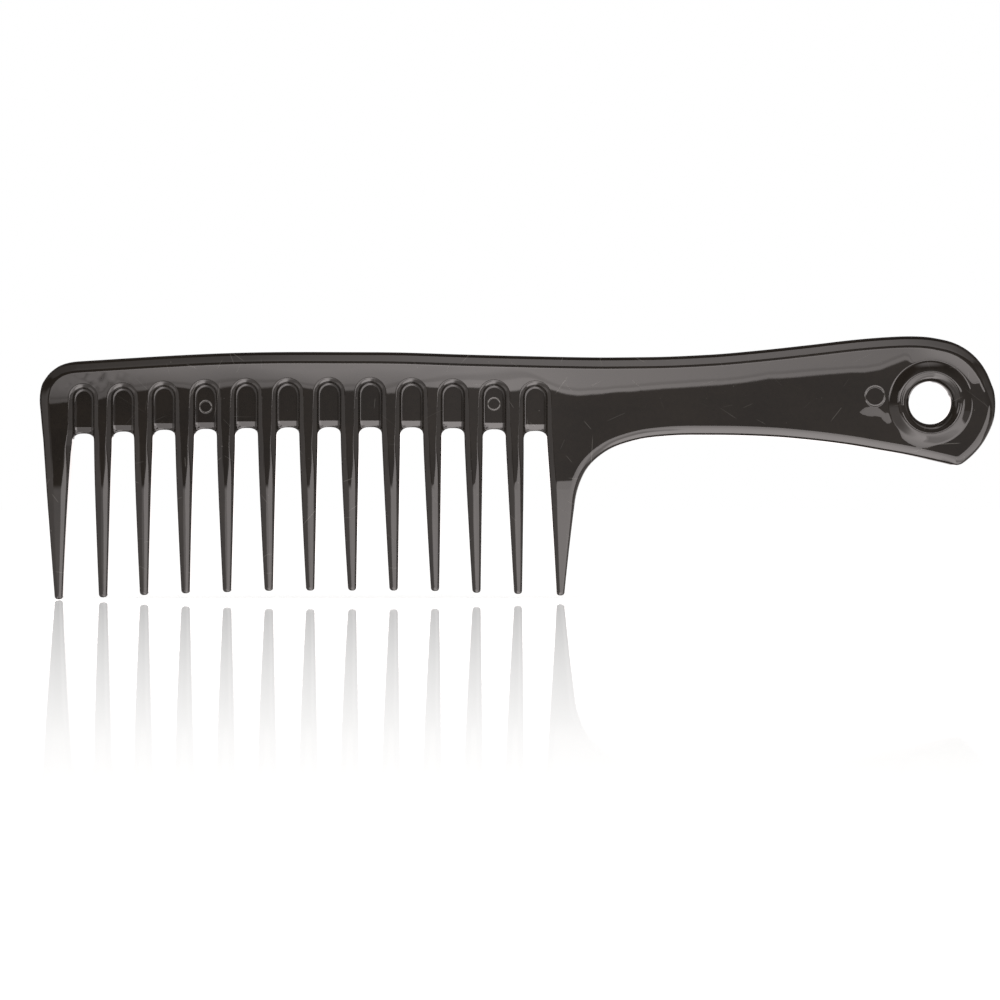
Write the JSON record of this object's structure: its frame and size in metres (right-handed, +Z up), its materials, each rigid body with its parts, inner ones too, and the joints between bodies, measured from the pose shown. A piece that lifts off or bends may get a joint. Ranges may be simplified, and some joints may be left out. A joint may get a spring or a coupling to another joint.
{
  "type": "wide tooth comb",
  "caption": "Handled wide tooth hair comb with long tapered teeth, recessed webs above each gap, a bevelled rim and a raised ring round its hanging hole.",
  "frame": {"origin": "centre of the hanging hole, on the comb's mid plane", "axes": "+X along the comb from the teeth towards the handle's end, +Y through the thickness along the hanging hole (the front face looks along -Y), +Z up from the teeth towards the comb's back"},
  "size_m": [0.2401, 0.006, 0.0661],
  "materials": {
    "comb_plastic": "polished warm near-black moulded plastic"
  },
  "bodies": {
    "root": {"spine": "comb_plastic", "tooth_01": "comb_plastic", "tooth_02": "comb_plastic", "tooth_03": "comb_plastic", "tooth_04": "comb_plastic", "tooth_05": "comb_plastic", "tooth_06": "comb_plastic", "tooth_07": "comb_plastic", "tooth_08": "comb_plastic", "tooth_09": "comb_plastic", "tooth_10": "comb_plastic", "tooth_11": "comb_plastic", "tooth_12": "comb_plastic", "tooth_13": "comb_plastic", "handle": "comb_plastic", "hang_eye": "comb_plastic"}
  },
  "joints": []
}
